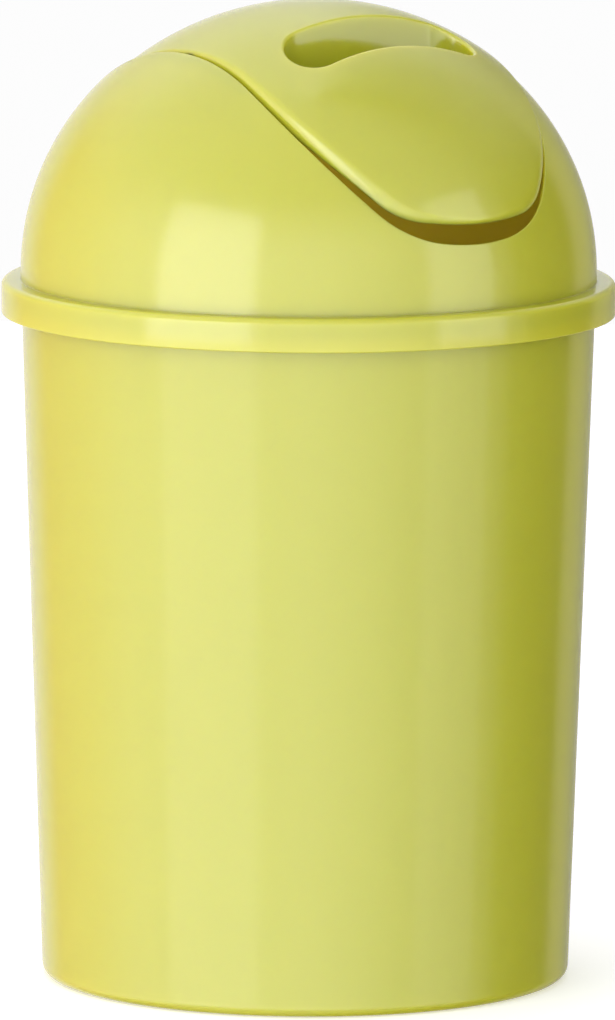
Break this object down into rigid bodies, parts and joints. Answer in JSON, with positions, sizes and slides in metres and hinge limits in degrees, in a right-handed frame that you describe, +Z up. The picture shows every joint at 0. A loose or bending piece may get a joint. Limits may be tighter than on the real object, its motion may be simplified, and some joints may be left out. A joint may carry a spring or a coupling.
{
  "type": "swing-top waste bin",
  "caption": "Round tapered plastic waste bin with a lift-off domed lid, whose broad curved flap with a finger pocket swings both ways on hinge pins.",
  "frame": {"origin": "middle of the bin's foot, on the surface that it stands on", "axes": "+Z up, front with the finger pocket towards -Y, hinge axis along X"},
  "size_m": [0.25, 0.25, 0.4006],
  "materials": {
    "bin_plastic": "glossy moulded polypropylene",
    "lid_plastic": "glossy moulded polypropylene",
    "flap_plastic": "glossy moulded polypropylene",
    "pin_plastic": "satin moulded plastic"
  },
  "bodies": {
    "bin": {"bin_body": "bin_plastic"},
    "lid": {"dome_lid": "lid_plastic"},
    "flap": {"swing_flap": "flap_plastic", "hinge_pin_left": "pin_plastic", "hinge_pin_right": "pin_plastic"}
  },
  "joints": [
    {"name": "lid_lift", "type": "slide", "parent": "bin", "child": "lid", "axis": [0, 0, 1], "range_m": [0, 0.15]},
    {"name": "flap_swing", "type": "hinge", "parent": "lid", "child": "flap", "pos_m": [0, -0.0033, 0.374], "axis": [1, 0, 0], "range_deg": [-72.3, 77.7]}
  ]
}
